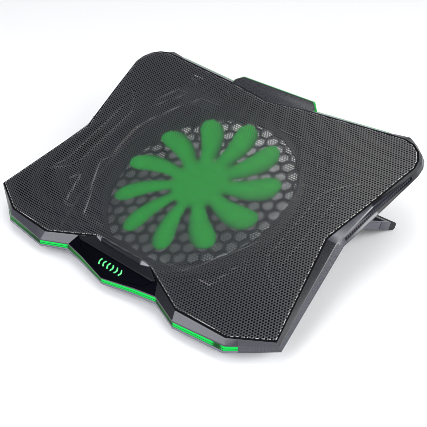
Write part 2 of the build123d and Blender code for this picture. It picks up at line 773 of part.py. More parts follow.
# ---------------------------------------------------------------------------
# Fasteners
# ---------------------------------------------------------------------------
with BuildPart() as case_screws:
    with BuildSketch(PAD.offset(floor_z + 0.5)):
        with Locations(*boss_xy):
            Circle(2.6)
    extrude(amount=2.1)
    with BuildSketch(PAD.offset(floor_z + 2.6)):
        with Locations(*boss_xy):
            Circle(1.3)
    extrude(amount=8.4)
    with BuildSketch(PAD.offset(floor_z + 0.5)):
        with Locations(*boss_xy):
            Rectangle(3.0, 0.7)
            Rectangle(0.7, 3.0)
    extrude(amount=0.9, mode=Mode.SUBTRACT)
case_screws.part.label = "case_screws"
export_step(case_screws.part, "parts/case_screws.step")

with BuildPart() as motor_screws:
    with BuildSketch(FAN.offset(floor_z + 2.0)):
        with PolarLocations(20.0, 3, start_angle=90):
            Circle(1.6)
    extrude(amount=1.8)
motor_screws.part.label = "motor_screws"
export_step(motor_screws.part, "parts/motor_screws.step")
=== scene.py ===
import json
import math

import bmesh
import bpy
import numpy as np
from mathutils import Matrix, Vector
from mathutils.geometry import delaunay_2d_cdt

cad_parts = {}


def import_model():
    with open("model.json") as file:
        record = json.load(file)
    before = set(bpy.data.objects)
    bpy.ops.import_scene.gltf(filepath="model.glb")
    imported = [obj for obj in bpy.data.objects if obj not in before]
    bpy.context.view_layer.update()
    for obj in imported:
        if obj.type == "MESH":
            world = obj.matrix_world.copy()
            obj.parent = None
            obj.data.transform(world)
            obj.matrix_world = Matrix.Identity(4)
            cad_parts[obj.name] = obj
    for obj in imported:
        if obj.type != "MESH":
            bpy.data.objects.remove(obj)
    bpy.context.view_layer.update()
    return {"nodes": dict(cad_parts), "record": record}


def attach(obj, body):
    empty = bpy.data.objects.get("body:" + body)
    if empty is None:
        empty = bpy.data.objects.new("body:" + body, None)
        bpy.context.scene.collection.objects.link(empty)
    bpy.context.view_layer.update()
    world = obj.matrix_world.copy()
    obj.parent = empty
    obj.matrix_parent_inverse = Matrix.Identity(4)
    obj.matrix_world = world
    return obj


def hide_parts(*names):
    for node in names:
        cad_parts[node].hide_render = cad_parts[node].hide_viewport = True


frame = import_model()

NODES = frame["nodes"]

# ---------------------------------------------------------------------------
# Pad plane: x right, y rear, z off the sheet, in mm; world in metres.
# ---------------------------------------------------------------------------
TILT = math.radians(15.5)
ST, CT = math.sin(TILT), math.cos(TILT)
PY, PZ = -32.849, 54.654


def world(p):
    """World points, in metres, of pad points in mm (n x 3)."""
    p = np.asarray(p, float).reshape(-1, 3)
    return np.column_stack([p[:, 0], PY + p[:, 1] * CT - p[:, 2] * ST,
                            PZ + p[:, 1] * ST + p[:, 2] * CT]) * 0.001


def mirrored(half):
    return half + [(-x, y) for x, y in reversed(half) if abs(x) > 1e-6]


def shifted(points, d):
    n, out = len(points), []
    for i in range(n):
        (ax, ay), (bx, by), (cx, cy) = points[i - 1], points[i], points[(i + 1) % n]
        l1, l2 = math.hypot(bx - ax, by - ay), math.hypot(cx - bx, cy - by)
        n1 = (-(by - ay) / l1, (bx - ax) / l1)
        n2 = (-(cy - by) / l2, (cx - bx) / l2)
        k = 1 + n1[0] * n2[0] + n1[1] * n2[1]
        out.append((bx + d * (n1[0] + n2[0]) / k, by + d * (n1[1] + n2[1]) / k))
    return out


mesh_half = [(0, -80.5), (38, -80.5), (57.2, -88.6), (94.6, -104.2), (156, -101.8),
             (196, -82.3), (168.8, 30), (181.6, 85), (193.6, 141), (191.6, 150),
             (186, 159), (177, 165.5), (166, 168), (144, 166.8), (50, 158.8), (0, 151.5)]
mesh_pts = mirrored(mesh_half)


# ---------------------------------------------------------------------------
# Materials
# ---------------------------------------------------------------------------
def material(name, color, rough=0.5, metallic=0.0, spec=0.5, grain=900.0, bump=0.15, var=0.12,
             blotch=18.0, emit=None, glow=0.0, coat=0.0, sheen=0.0, dist=0.0001):
    """Procedural finish: blotchy tint, grain in roughness and a fine bump."""
    m = bpy.data.materials.new(name)
    m.use_nodes = True
    nt = m.node_tree
    b = nt.nodes["Principled BSDF"]
    co = nt.nodes.new("ShaderNodeTexCoord")
    big = nt.nodes.new("ShaderNodeTexNoise")
    big.inputs["Scale"].default_value = blotch
    big.inputs["Detail"].default_value = 4
    fine = nt.nodes.new("ShaderNodeTexNoise")
    fine.inputs["Scale"].default_value = grain
    fine.inputs["Detail"].default_value = 3
    nt.links.new(co.outputs["Object"], big.inputs["Vector"])
    nt.links.new(co.outputs["Object"], fine.inputs["Vector"])
    ramp = nt.nodes.new("ShaderNodeValToRGB")
    ramp.color_ramp.elements[0].position = 0.3
    ramp.color_ramp.elements[1].position = 0.7
    ramp.color_ramp.elements[0].color = (*[c * (1 - var) for c in color], 1)
    ramp.color_ramp.elements[1].color = (*[min(1, c * (1 + var)) for c in color], 1)
    nt.links.new(big.outputs["Fac"], ramp.inputs["Fac"])
    nt.links.new(ramp.outputs["Color"], b.inputs["Base Color"])
    rr = nt.nodes.new("ShaderNodeMapRange")
    rr.inputs["To Min"].default_value = max(0.02, rough - 0.06)
    rr.inputs["To Max"].default_value = min(1.0, rough + 0.06)
    nt.links.new(fine.outputs["Fac"], rr.inputs["Value"])
    nt.links.new(rr.outputs["Result"], b.inputs["Roughness"])
    bp = nt.nodes.new("ShaderNodeBump")
    bp.inputs["Strength"].default_value = bump
    bp.inputs["Distance"].default_value = dist
    nt.links.new(fine.outputs["Fac"], bp.inputs["Height"])
    nt.links.new(bp.outputs["Normal"], b.inputs["Normal"])
    b.inputs["Metallic"].default_value = metallic
    b.inputs["Specular IOR Level"].default_value = spec
    b.inputs["Coat Weight"].default_value = coat
    b.inputs["Coat Roughness"].default_value = 0.08
    if emit:
        b.inputs["Emission Color"].default_value = (*emit, 1)
        b.inputs["Emission Strength"].default_value = glow
    return m


def along_x(m, stops, strength):
    """Emission whose colour runs along x (metres) through the given stops."""
    nt = m.node_tree
    b = nt.nodes["Principled BSDF"]
    co = nt.nodes.new("ShaderNodeTexCoord")
    sep = nt.nodes.new("ShaderNodeSeparateXYZ")
    nt.links.new(co.outputs["Object"], sep.inputs["Vector"])
    mr = nt.nodes.new("ShaderNodeMapRange")
    mr.inputs["From Min"].default_value = -0.205
    mr.inputs["From Max"].default_value = 0.205
    nt.links.new(sep.outputs["X"], mr.inputs["Value"])
    ramp = nt.nodes.new("ShaderNodeValToRGB")
    el = ramp.color_ramp.elements
    stops = [((x + 205) / 410, c) for x, c in stops]
    el[0].position, el[0].color = stops[0][0], (*stops[0][1], 1)
    el[1].position, el[1].color = stops[-1][0], (*stops[-1][1], 1)
    for p, c in stops[1:-1]:
        e = el.new(p)
        e.color = (*c, 1)
    nt.links.new(mr.outputs["Result"], ramp.inputs["Fac"])
    # bands across the strip's height
    dot = nt.nodes.new("ShaderNodeVectorMath")
    dot.operation = "DOT_PRODUCT"
    nt.links.new(co.outputs["Object"], dot.inputs[0])
    dot.inputs[1].default_value = (0, -ST, CT)
    zr = nt.nodes.new("ShaderNodeMapRange")
    zero = (PZ * CT - PY * ST) * 0.001
    zr.inputs["From Min"].default_value = zero - 0.0105
    zr.inputs["From Max"].default_value = zero - 0.0066
    nt.links.new(dot.outputs["Value"], zr.inputs["Value"])
    band = nt.nodes.new("ShaderNodeValToRGB")
    be = band.color_ramp.elements
    be[0].position, be[0].color = 0.0, (0.55, 0.55, 0.55, 1)
    be[1].position, be[1].color = 1.0, (0.45, 0.45, 0.45, 1)
    for p, v in ((0.04, 0.75), (0.31, 0.90), (0.345, 0.08), (0.44, 0.08), (0.47, 0.85), (0.60, 1.0), (0.88, 1.0), (0.96, 0.7)):
        k = be.new(p)
        k.color = (v, v, v, 1)
    nt.links.new(zr.outputs["Result"], band.inputs["Fac"])
    mul = nt.nodes.new("ShaderNodeVectorMath")
    mul.operation = "MULTIPLY"
    nt.links.new(ramp.outputs["Color"], mul.inputs[0])
    nt.links.new(band.outputs["Color"], mul.inputs[1])
    nt.links.new(mul.outputs["Vector"], b.inputs["Emission Color"])
    b.inputs["Emission Strength"].default_value = strength


M = {}
M["frame"] = material("frame_plastic_look", (0.017, 0.018, 0.027), rough=0.22, spec=0.72, grain=1400, bump=0.04, coat=0.2)
M["shell"] = material("shell_plastic_look", (0.050, 0.050, 0.064), rough=0.32, spec=0.6, grain=1100, bump=0.12)
# near-black copy of the black plastic: painted shade for the shadow gap round the sheet, the backs of the light groove
# and side slots, and the shell's inside
M["inside"] = material("shell_inside_painted_shade_look", (0.006, 0.006, 0.007), rough=0.8, spec=0.1, grain=700, bump=0.2)
M["steel"] = material("black_steel_look", (0.0200, 0.0222, 0.0285), rough=0.31, spec=0.95, grain=2600, bump=0.2, var=0.08)
# lighter steel on the crests of the embossed lines: painted highlight
M["crest"] = material("emboss_crest_painted_highlight_look", (0.10, 0.105, 0.115), rough=0.36, spec=0.8, grain=1500, bump=0.3, var=0.35, blotch=300)
# light grey on the sheet's rolled rim and its outer wall: painted highlight
M["edge"] = material("rim_painted_highlight_look", (0.42, 0.43, 0.45), rough=0.35, spec=0.8, grain=1500, bump=0.3, var=0.25, blotch=260)
M["bezel"] = material("bezel_look", (0.0065, 0.007, 0.010), rough=0.25, spec=0.16, grain=1500, bump=0.05)
M["cover"] = material("cover_look", (0.014, 0.015, 0.020), rough=0.28, spec=0.5, grain=1500, bump=0.05)
# light grey on the lip's end pieces: painted highlight on their end facets
M["lipend_painted_highlight"] = material("lip_end_painted_highlight_look", (0.22, 0.22, 0.25), rough=0.35, spec=0.6, grain=1500, bump=0.1)
M["gloss"] = material("gloss_black_look", (0.0020, 0.0020, 0.004), rough=0.12, spec=0.015, grain=300, bump=0.01, var=0.3)
M["light"] = material("light_guide_look", (0.001, 0.030, 0.005), rough=0.25, spec=0.12, grain=700, bump=0.1)
# the dark and bright stretches along x are painted shade and painted highlight: they stand for the strip looking
# brighter or darker with the angle it is seen at
dark, deep, mid, hot = (0.0, 0.004, 0.001), (0.0, 0.05, 0.004), (0.0, 0.15, 0.012), (0.0, 0.80, 0.10)
along_x(M["light"], [(-205, mid), (-157, mid), (-120, deep), (-104, dark), (-98.6, dark), (-97.6, hot),
                     (-66, hot), (-64.6, deep), (-50, mid), (-6, mid), (-1, deep), (0.5, hot),
                     (64.6, hot), (66, dark), (84, deep), (97.6, dark), (98.6, hot), (143, hot),
                     (146, deep), (152, deep), (155, hot), (205, hot)], 1.0)
M["backlight"] = material("rear_light_look", (0.008, 0.10, 0.02), rough=0.3, spec=0.2, grain=700, bump=0.1,
                          emit=(0.01, 0.42, 0.05), glow=0.8)
M["glow"] = material("glow_green_look", (0.05, 0.5, 0.12), rough=0.4, grain=700, bump=0.1,
                     emit=(0.10, 1.0, 0.22), glow=1.0)
# darker copy of the frame plastic: painted shade on facets chosen by the way they face
M["frame_painted_shade"] = material("frame_shaded_look", (0.0055, 0.006, 0.009), rough=0.26, spec=0.24, grain=1400, bump=0.03, coat=0.03)
# light lilac copy of the frame plastic: painted highlight on the lower front rail and on rear facets facing back
M["rail"] = material("lower_rail_painted_highlight_look", (0.115, 0.118, 0.145), rough=0.30, spec=0.6, grain=1300, bump=0.06, coat=0.1)
# lighter copy of the frame plastic: painted light on the lower flanks
M["flank"] = material("lower_flank_painted_light_look", (0.034, 0.036, 0.046), rough=0.28, spec=0.5, grain=1300, bump=0.02, coat=0.15)
M["trim"] = material("trim_look", (0.030, 0.030, 0.038), rough=0.4, spec=0.4, grain=900, bump=0.15)
M["board"] = material("board_look", (0.002, 0.008, 0.005), rough=0.45, grain=500, bump=0.3, var=0.3)
M["copper"] = material("copper_look", (0.72, 0.30, 0.13), rough=0.35, metallic=1.0, grain=1800, bump=0.5)
M["brass"] = material("brass_look", (0.72, 0.52, 0.20), rough=0.3, metallic=1.0, grain=900)
M["metal"] = material("steel_look", (0.55, 0.56, 0.58), rough=0.28, metallic=1.0, grain=1200)
M["magnet"] = material("magnet_look", (0.10, 0.10, 0.11), rough=0.5, metallic=0.7, grain=900)
M["fan"] = material("fan_green_look", (0.02, 0.33, 0.05), rough=0.45, spec=0.3, grain=500, bump=0.08, var=0.06,
                    emit=(0.002, 0.68, 0.030), glow=1.0)
M["leg"] = material("leg_look", (0.034, 0.034, 0.049), rough=0.4, spec=0.5, grain=1200, bump=0.15)
M["rubber"] = material("rubber_look", (0.018, 0.018, 0.020), rough=0.8, spec=0.25, grain=1500, bump=0.5)
M["plated"] = material("plated_look", (0.62, 0.62, 0.62), rough=0.22, metallic=1.0, grain=900)
M["button"] = material("button_look", (0.03, 0.03, 0.033), rough=0.4, grain=1100)
M["lead"] = material("lead_look", (0.02, 0.02, 0.022), rough=0.5, grain=1100)
M["screw"] = material("screw_look", (0.10, 0.10, 0.105), rough=0.32, metallic=1.0, grain=1500)
M["shroud"] = material("shroud_look", (0.012, 0.012, 0.014), rough=0.6, spec=0.3, grain=900)

SLOT_LOOK = {
    "frame_plastic": "frame", "shell_plastic": "shell", "black_steel": "steel", "bezel_plastic": "bezel",
    "lip_end_plastic": "lipend_painted_highlight", "gloss_black": "gloss", "light_guide": "light", "glow_green": "glow",
    "trim_plastic": "trim", "circuit_board": "board", "copper_winding": "copper", "bearing_brass": "brass",
    "steel": "metal", "magnet": "magnet", "fan_green": "fan", "leg_plastic": "leg", "black_rubber": "rubber",
    "plated_steel": "plated", "button_plastic": "button", "lead_pvc": "lead", "screw_steel": "screw",
}
slot_of = {}
for row in frame["record"].get("materials", []):
    for n in row.get("nodes", []) or []:
        slot_of[n] = row.get("slot")
BY_NODE = {"rear_light_left": "backlight", "rear_light_right": "backlight", "rear_bar_light": "backlight",
           "fan_shroud": "shroud", "motor_base": "shroud"}


def paint(o, m):
    o.data.materials.clear()
    o.data.materials.append(m)


for n, o in NODES.items():
    key = BY_NODE.get(n)
    if key is None:
        s = slot_of.get(n)
        if s is None and o.data.materials and o.data.materials[0]:
            s = o.data.materials[0].name.split(".")[0]
        key = SLOT_LOOK.get(s, "frame")
    paint(o, M[key])


# ---------------------------------------------------------------------------
# Perforated sheet: 3 mm hexagonal pattern, holes cut through by the outline
# ---------------------------------------------------------------------------
PITCH, HOLE_R, THICK, TOP = 3.0, 1.10, 0.40, -0.10
ROW = PITCH * math.sqrt(3) / 2
EMBOSS = []
for s in (1, -1):
    for line in (
        [(42.6, -69.7), (70.6, -69.7), (73.5, -68), (114.7, -5), (104, 7), (109, 18), (112, 54), (101.5, 80),
         (75, 119), (70.6, 123), (42.6, 123)],
        [(123.5, 98), (108.8, 123), (92.6, 123)],
        [(119, 86), (94, 120)],
        [(92.6, -68), (106, -68), (119, -30)],
        [(152, 75), (152, -20)],
        [(160, 98), (140, 80), (135, 72), (135, -15), (141, -24)],
        [(166, -42), (154, -24)],
        [(162, -40), (140, -27)],
        [(126.5, -40), (122, -28.5)],
    ):
        EMBOSS.append([(s * x, y) for x, y in line])


def inside(px, py, poly):
    """Whether each point is in the polygon."""
    r = np.zeros(len(px), bool)
    n = len(poly)
    for i in range(n):
        (x1, y1), (x2, y2) = poly[i], poly[(i + 1) % n]
        if y1 == y2:
            continue
        c = ((y1 > py) != (y2 > py)) & (px < (x2 - x1) * (py - y1) / (y2 - y1) + x1)
        r ^= c
    return r


def reach(px, py, lines, closed=False):
    """Distance of each point to the nearest of some polylines."""
    best = np.full(len(px), 1e9)
    for line in lines:
        pts = line + [line[0]] if closed else line
        for (x1, y1), (x2, y2) in zip(pts[:-1], pts[1:]):
            dx, dy = x2 - x1, y2 - y1
            t = np.clip(((px - x1) * dx + (py - y1) * dy) / (dx * dx + dy * dy), 0, 1)
            best = np.minimum(best, np.hypot(px - x1 - t * dx, py - y1 - t * dy))
    return best


def sheet_pieces():
    js = np.arange(-42, 66)
    cx, cy = [], []
    for j in js:
        for i in range(-68, 69):
            cx.append(i * PITCH + (PITCH / 2 if j % 2 else 0.0))
            cy.append(j * ROW)
    cx, cy = np.array(cx), np.array(cy)
    hexa = [math.radians(30 + 60 * k) for k in range(6)]
    octa = [math.radians(22.5 + 45 * k) for k in range(8)]
    R = PITCH / math.sqrt(3)
    safe = shifted(mesh_pts, 0.08)
    full = np.ones(len(cx), bool)
    for a in hexa:
        full &= inside(cx + R * math.cos(a), cy + R * math.sin(a), safe)
    near = inside(cx, cy, shifted(mesh_pts, -HOLE_R)) & ~full
    ids, verts = {}, []

    def vid(x, y):
        k = (round(x * 5000), round(y * 5000))
        if k not in ids:
            ids[k] = len(verts)
            verts.append((x, y))
        return ids[k]

    tris, edge_use = [], {}
    for x, y in zip(cx[full], cy[full]):
        h = [vid(x + R * math.cos(a), y + R * math.sin(a)) for a in hexa]
        fr = math.hypot(x, y - 31.0)
        hr = HOLE_R + 0.03 * min(1.0, max(0.0, (98.0 - fr) / 6.0))     # more open over the fan
        o = [vid(x + hr * math.cos(a), y + hr * math.sin(a)) for a in octa]
        # ring between hexagon and hole
        hi = oi = 0
        while hi < 6 or oi < 8:
            ah = hexa[hi % 6] + (2 * math.pi if hi >= 6 else 0)
            ao = octa[oi % 8] + (2 * math.pi if oi >= 8 else 0)
            nh = hexa[(hi + 1) % 6] + (2 * math.pi if hi + 1 >= 6 else 0)
            no = octa[(oi + 1) % 8] + (2 * math.pi if oi + 1 >= 8 else 0)
            if oi >= 8 or (hi < 6 and (nh + ah) / 2 <= (no + ao) / 2 + 1e-9):
                tris.append((h[hi % 6], h[(hi + 1) % 6], o[oi % 8]))
                hi += 1
            else:
                tris.append((h[hi % 6], o[(oi + 1) % 8], o[oi % 8]))
                oi += 1
        for k in range(6):
            e = (h[k], h[(k + 1) % 6])
            e = (min(e), max(e))
            edge_use[e] = edge_use.get(e, 0) + 1
    # border zone, triangulated between the outline, the full cells and the cut holes
    cv, ce = [], []
    for x, y in mesh_pts:
        cv.append(Vector((x, y)))
    n0 = len(cv)
    ce += [(i, (i + 1) % n0) for i in range(n0)]
    local = {}
    for (a, b), c in edge_use.items():
        if c == 1:
            for v in (a, b):
                if v not in local:
                    local[v] = len(cv)
                    cv.append(Vector(verts[v]))
            ce.append((local[a], local[b]))
    for x, y in zip(cx[near], cy[near]):
        k0 = len(cv)
        for a in octa:
            cv.append(Vector((x + HOLE_R * math.cos(a), y + HOLE_R * math.sin(a))))
        ce += [(k0 + k, k0 + (k + 1) % 8) for k in range(8)]
    ov, _, of, _, _, _ = delaunay_2d_cdt(cv, ce, [], 0, 1e-6)
    P = np.array([(v.x, v.y) for v in ov])
    T = np.array([f for f in of if len(f) == 3])
    cen = P[T].mean(1)
    keep = inside(cen[:, 0], cen[:, 1], mesh_pts)
    # nearest lattice centre tells which cell a triangle is in
    jj = np.round(cen[:, 1] / ROW)
    best = np.full(len(cen), 1e9)
    bx, by = np.zeros(len(cen)), np.zeros(len(cen))
    for dj in (-1, 0, 1):
        j = jj + dj
        off = np.where(j.astype(int) % 2 != 0, PITCH / 2, 0.0)
        x = np.round((cen[:, 0] - off) / PITCH) * PITCH + off
        y = j * ROW
        d = np.hypot(cen[:, 0] - x, cen[:, 1] - y)
        m = d < best
        best[m], bx[m], by[m] = d[m], x[m], y[m]
    fullset = {(round(a * 100), round(b * 100)) for a, b in zip(cx[full], cy[full])}
    infull = np.array([(round(a * 100), round(b * 100)) in fullset for a, b in zip(bx, by)])
    dx, dy = cen[:, 0] - bx, cen[:, 1] - by
    octd = np.max([dx * math.cos(math.radians(45 * k)) + dy * math.sin(math.radians(45 * k)) for k in range(8)], axis=0)
    inhole = octd < HOLE_R * math.cos(math.radians(22.5))
    keep &= ~infull & ~inhole
    for f in T[keep]:
        a, b, c = [vid(*P[i]) for i in f]
        if a == b or b == c or a == c:
            continue
        tris.append((a, b, c))
    V = np.array(verts)
    T = np.array(tris)
    cr = ((V[T[:, 1], 0] - V[T[:, 0], 0]) * (V[T[:, 2], 1] - V[T[:, 0], 1])
          - (V[T[:, 1], 1] - V[T[:, 0], 1]) * (V[T[:, 2], 0] - V[T[:, 0], 0]))
    T = T[np.abs(cr) > 1e-7]
    cr = cr[np.abs(cr) > 1e-7]
    T[cr < 0] = T[cr < 0][:, ::-1]
    # heights: embossed ridges, and the rim rolled down
    d = reach(V[:, 0], V[:, 1], EMBOSS)
    z = TOP + 0.85 * np.exp(-(d / 1.05) ** 2)
    e = reach(V[:, 0], V[:, 1], [mesh_pts], closed=True)
    z -= 0.24 * np.clip(1 - e / 1.3, 0, 1) ** 1.5
    top = np.column_stack([V, z])
    bot = np.column_stack([V, np.maximum(z - THICK, -0.68)])
    # open edges get a wall
    use = {}
    for a, b, c in T:
        for p, q in ((a, b), (b, c), (c, a)):
            k = (p, q) if p < q else (q, p)
            use[k] = None if k in use else (p, q)
    walls = np.array([v for v in use.values() if v is not None])
    out = []
    tc = V[T].mean(1)
    wc = V[walls].mean(1)
    for qx in (0, 1):
        for qy in (0, 1):
            tm = ((tc[:, 0] >= 0) == bool(qx)) & ((tc[:, 1] >= 32) == bool(qy))
            wm = ((wc[:, 0] >= 0) == bool(qx)) & ((wc[:, 1] >= 32) == bool(qy))
            t, w = T[tm], walls[wm]
            used = np.unique(np.concatenate([t.ravel(), w.ravel()]))
            wused = np.unique(w.ravel())
            idx = np.full(len(V), -1)
            idx[used] = np.arange(len(used))
            bdx = np.full(len(V), -1)
            bdx[wused] = len(used) + np.arange(len(wused))
            pts = np.vstack([top[used], bot[wused]])
            faces = [tuple(int(i) for i in idx[f]) for f in t]
            faces += [(int(idx[q]), int(idx[p]), int(bdx[p]), int(bdx[q])) for p, q in w]
            me = bpy.data.meshes.new(f"perforated_sheet_{qx}{qy}")
            me.from_pydata(world(pts).tolist(), [], faces)
            for poly in me.polygons:
                poly.use_smooth = True
            # slot 1 takes the faces near the outline and the outline wall, a painted highlight on the rolled rim; slot
            # 2 takes the faces on the emboss crests, a painted highlight
            rim = np.concatenate([np.where(e[T].mean(1)[tm] < 0.48, 1, np.where(d[T].mean(1)[tm] < 0.55, 2, 0)),
                                  np.where(e[walls].mean(1)[wm] < 0.05, 1, 0)])
            me.set_sharp_from_angle(angle=math.radians(40))
            o = bpy.data.objects.new(f"perforated_sheet_{qx}{qy}", me)
            bpy.context.scene.collection.objects.link(o)
            paint(o, M["steel"])
            me.materials.append(M["edge"])
            me.materials.append(M["crest"])
            me.polygons.foreach_set("material_index", rim.astype(np.int32))
            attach(o, "pad")
            out.append(o)
    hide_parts("mesh_panel")
    return out


sheet_pieces()

# ---------------------------------------------------------------------------
# Moulded parts: the same shapes with rounded edges
# ---------------------------------------------------------------------------
def pad_coords(me):
    co = np.zeros(len(me.vertices) * 3)
    me.vertices.foreach_get("co", co)
    co = co.reshape(-1, 3) * 1000
    y, z = co[:, 1] - PY, co[:, 2] - PZ
    return np.column_stack([co[:, 0], y * CT + z * ST, -y * ST + z * CT])


def rounded(node, body, look, width, angle=22.0, shortest=0.0, segments=2, extra=None, pick=None):
    """A copy of a node with its edges rounded, which stands for the node."""
    src = NODES[node]
    bm = bmesh.new()
    bm.from_mesh(src.data)
    bmesh.ops.remove_doubles(bm, verts=bm.verts, dist=2e-6)
    bmesh.ops.dissolve_limit(bm, angle_limit=math.radians(0.8), verts=bm.verts, edges=bm.edges)
    sel = []
    for e in bm.edges:
        if len(e.link_faces) != 2 or e.calc_length() < shortest * 0.001:
            continue
        if e.calc_face_angle(0.0) < math.radians(angle):
            continue
        if pick and not pick(e):
            continue
        sel.append(e)
    if sel:
        bmesh.ops.bevel(bm, geom=sel, offset=width * 0.001, offset_type="OFFSET", segments=segments,
                        profile=0.5, affect="EDGES", clamp_overlap=False)
    me = bpy.data.meshes.new(node + "_rounded")
    bm.to_mesh(me)
    bm.free()
    for poly in me.polygons:
        poly.use_smooth = True
    me.set_sharp_from_angle(angle=math.radians(32))
    o = bpy.data.objects.new(node + "_rounded", me)
    bpy.context.scene.collection.objects.link(o)
    paint(o, M[look])
    if extra:
        me.materials.append(M[extra[0]])
        pc = pad_coords(me)
        idx = np.zeros(len(me.polygons), np.int32)
        for i, poly in enumerate(me.polygons):
            n = poly.normal
            nz = -n.y * ST + n.z * CT
            c = pc[list(poly.vertices)].mean(0)
            if extra[1](c, nz, n):
                idx[i] = 1
        me.polygons.foreach_set("material_index", idx)
    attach(o, body)
    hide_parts(node)
    return o


crest_half = [(0, -82.2), (38.6, -82.2), (58.4, -91.2), (95.6, -106.4), (155.4, -104.0),
              (197.6, -83.6), (170.8, 30), (183.6, 85), (195.2, 141), (193.4, 151),
              (187.4, 160.6), (178, 167.4), (166.2, 169.9), (144, 168.7), (50, 160.7), (0, 153.4)]
ridge_half = [(0, -116.2), (38.6, -107.6), (64.4, -103.4), (97.6, -115.2), (156.7, -108.8),
              (199.6, -84.8), (178.6, 32), (182.8, 85), (196.2, 141), (195.6, 152),
              (190.4, 161.4), (178.2, 171.2), (166.6, 177.6), (145.8, 174.2), (57.5, 167.0), (0, 167.0)]
rim_half = [(0, -118.8), (38.9, -111.3), (65.2, -107.6), (98.4, -118.9), (156.9, -113.4),
            (200.8, -85.0), (182.8, 36), (189.6, 84), (197.2, 141), (196.2, 152.5),
            (192.0, 161.6), (179.0, 172.4), (167.0, 180.2), (146.4, 175.8), (58.0, 168.6), (0, 168.6)]


def groove(x, y):
    """Depth of the light groove or side slot at a point of the rim."""
    if y < -80 and abs(x) < 168:
        return 4.6
    if 42 < y < 134 and abs(x) > 150:
        return 2.6
    if y > 160 and 57.8 < abs(x) < 145:
        return 4.2
    return 0.0


def grid_mesh(name, rings, close_section=True):
    """Quads between closed rings with equal point counts."""
    n = len(rings[0])
    verts = [p for r in rings for p in r]
    faces = []
    m = len(rings)
    for k in range(m if close_section else m - 1):
        k2 = (k + 1) % m
        for i in range(n):
            i2 = (i + 1) % n
            faces.append((k * n + i, k * n + i2, k2 * n + i2, k2 * n + i))
    me = bpy.data.meshes.new(name)
    me.from_pydata(world(verts).tolist(), [], faces)
    return me


def prism(name, pts, z0, z1, plane=None):
    """Closed prism; pts on the pad plane, or on a plane given by a point map."""
    bm = bmesh.new()
    to = plane or (lambda x, y, z: (x, y, z))
    lo = [bm.verts.new(world([to(x, y, z0)])[0]) for x, y in pts]
    hi = [bm.verts.new(world([to(x, y, z1)])[0]) for x, y in pts]
    n = len(pts)
    bm.faces.new(lo[::-1])
    bm.faces.new(hi)
    for i in range(n):
        bm.faces.new((lo[i], lo[(i + 1) % n], hi[(i + 1) % n], hi[i]))
    bmesh.ops.recalc_face_normals(bm, faces=bm.faces)
    me = bpy.data.meshes.new(name)
    bm.to_mesh(me)
    bm.free()
    return me


PLATE_TILT = math.atan2(4.0, 18.0)


def on_plate(x, y, z):
    c, sn = math.cos(PLATE_TILT), math.sin(PLATE_TILT)
    return (x, -94.6 + y * c - z * sn, -2.4 + y * sn + z * c)


def cut(me, cutters):
    """The mesh less the cutters, by exact booleans."""
    o = bpy.data.objects.new("work", me)
    bpy.context.scene.collection.objects.link(o)
    tools = []
    for c in cutters:
        t = bpy.data.objects.new("tool", c)
        bpy.context.scene.collection.objects.link(t)
        tools.append(t)
        md = o.modifiers.new("cut", "BOOLEAN")
        md.operation = "DIFFERENCE"
        md.solver = "EXACT"
        md.object = t
    bpy.context.view_layer.update()
    dg = bpy.context.evaluated_depsgraph_get()
    out = bpy.data.meshes.new_from_object(o.evaluated_get(dg))
    for t in tools:
        bpy.data.objects.remove(t)
    bpy.data.objects.remove(o)
    return out


def place(me, name, looks, body, nodes, pick=None, sharp=30):
    me.name = name
    me.materials.clear()
    for k in looks:
        me.materials.append(M[k])
    if pick:
        pc = pad_coords(me)
        idx = np.zeros(len(me.polygons), np.int32)
        for i, poly in enumerate(me.polygons):
            n = poly.normal
            idx[i] = pick(pc[list(poly.vertices)].mean(0), -n.y * ST + n.z * CT, n)
        me.polygons.foreach_set("material_index", idx)
    for poly in me.polygons:
        poly.use_smooth = True
    me.set_sharp_from_angle(angle=math.radians(sharp))
    o = bpy.data.objects.new(name, me)
    bpy.context.scene.collection.objects.link(o)
    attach(o, body)
    if nodes:
        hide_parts(*nodes)
    return o


